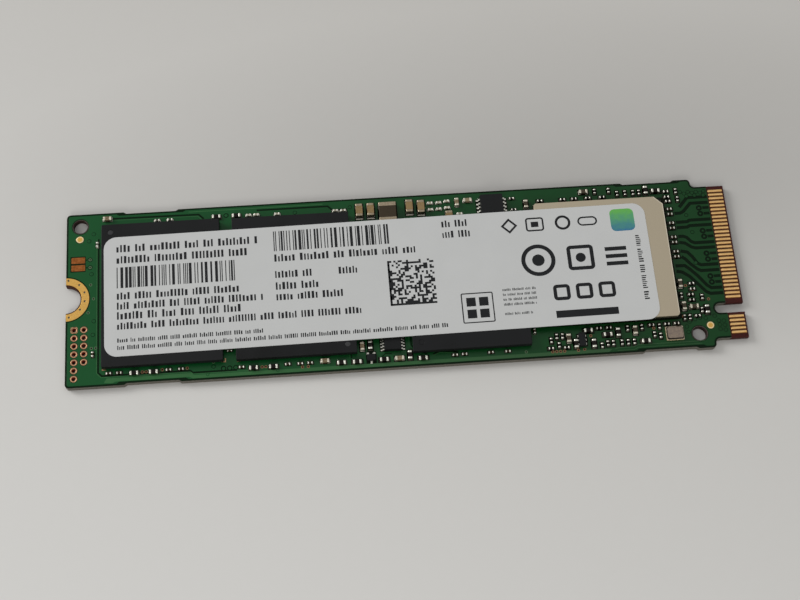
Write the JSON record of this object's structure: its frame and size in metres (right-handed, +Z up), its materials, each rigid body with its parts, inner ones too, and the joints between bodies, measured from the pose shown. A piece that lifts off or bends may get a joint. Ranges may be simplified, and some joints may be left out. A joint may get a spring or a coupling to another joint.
{
  "type": "solid state drive",
  "caption": "Gumstick solid state drive: a narrow circuit card with memory chips and a controller under a label, a keyed edge connector at one end and a half-round screw notch at the other.",
  "frame": {"origin": "on the board's underside, at the middle of its length and width", "axes": "+X along the board towards the edge connector, +Y across the board with the key slot on the -Y side, +Z up out of the component side"},
  "size_m": [0.08, 0.022, 0.0019],
  "materials": {
    "solder_mask": "satin green mask over laminate",
    "gold_plate": "satin gold plating",
    "bare_copper": "dull copper",
    "mould_compound": "matte moulded epoxy",
    "nickel_plate": "satin nickel plating",
    "label_film": "matte film",
    "tan_ceramic": "fired ceramic",
    "dark_ceramic": "fired ceramic or resistor film",
    "tin_plate": "satin tin",
    "solder": "satin solder",
    "silicon": "polished silicon",
    "substrate_laminate": "dark green laminate"
  },
  "bodies": {
    "root": {"bottom_edge_contacts": "gold_plate", "bulk_capacitor_body": "dark_ceramic", "bulk_capacitor_terminals": "tin_plate", "circuit_board": "solder_mask", "connector_small_resistor_bodies": "dark_ceramic", "connector_small_resistor_terminals": "tin_plate", "controller_balls": "solder", "controller_die": "silicon", "controller_lid": "nickel_plate", "controller_substrate": "substrate_laminate", "coupling_capacitor_bodies": "tan_ceramic", "coupling_capacitor_terminals": "tin_plate", "crystal_base": "tan_ceramic", "crystal_lid": "nickel_plate", "fiducial_discs": "gold_plate", "flash_left_balls": "solder", "flash_left_dies": "silicon", "flash_left_mould": "mould_compound", "flash_left_substrate": "substrate_laminate", "flash_right_balls": "solder", "flash_right_dies": "silicon", "flash_right_mould": "mould_compound", "flash_right_substrate": "substrate_laminate", "header_rings_top": "bare_copper", "label": "label_film", "large_capacitor_bodies": "tan_ceramic", "large_capacitor_terminals": "tin_plate", "lower_small_capacitor_bodies": "tan_ceramic", "lower_small_capacitor_terminals": "tin_plate", "lower_small_resistor_bodies": "dark_ceramic", "lower_small_resistor_terminals": "tin_plate", "medium_capacitor_bodies": "tan_ceramic", "medium_capacitor_terminals": "tin_plate", "medium_ferrite_bodies": "dark_ceramic", "medium_ferrite_terminals": "tin_plate", "memory_balls": "solder", "memory_dies": "silicon", "memory_mould": "mould_compound", "memory_substrate": "substrate_laminate", "mounting_pad_bottom": "gold_plate", "mounting_pad_top": "gold_plate", "power_chip_body": "mould_compound", "power_chip_leads": "tin_plate", "regulator_body": "mould_compound", "regulator_leads": "tin_plate", "service_pads": "bare_copper", "switch_body": "mould_compound", "switch_terminals": "tin_plate", "top_edge_contacts": "gold_plate", "transistor_body": "mould_compound", "transistor_leads": "tin_plate", "upper_small_capacitor_bodies": "tan_ceramic", "upper_small_capacitor_terminals": "tin_plate", "upper_small_resistor_bodies": "dark_ceramic", "upper_small_resistor_terminals": "tin_plate"}
  },
  "joints": []
}
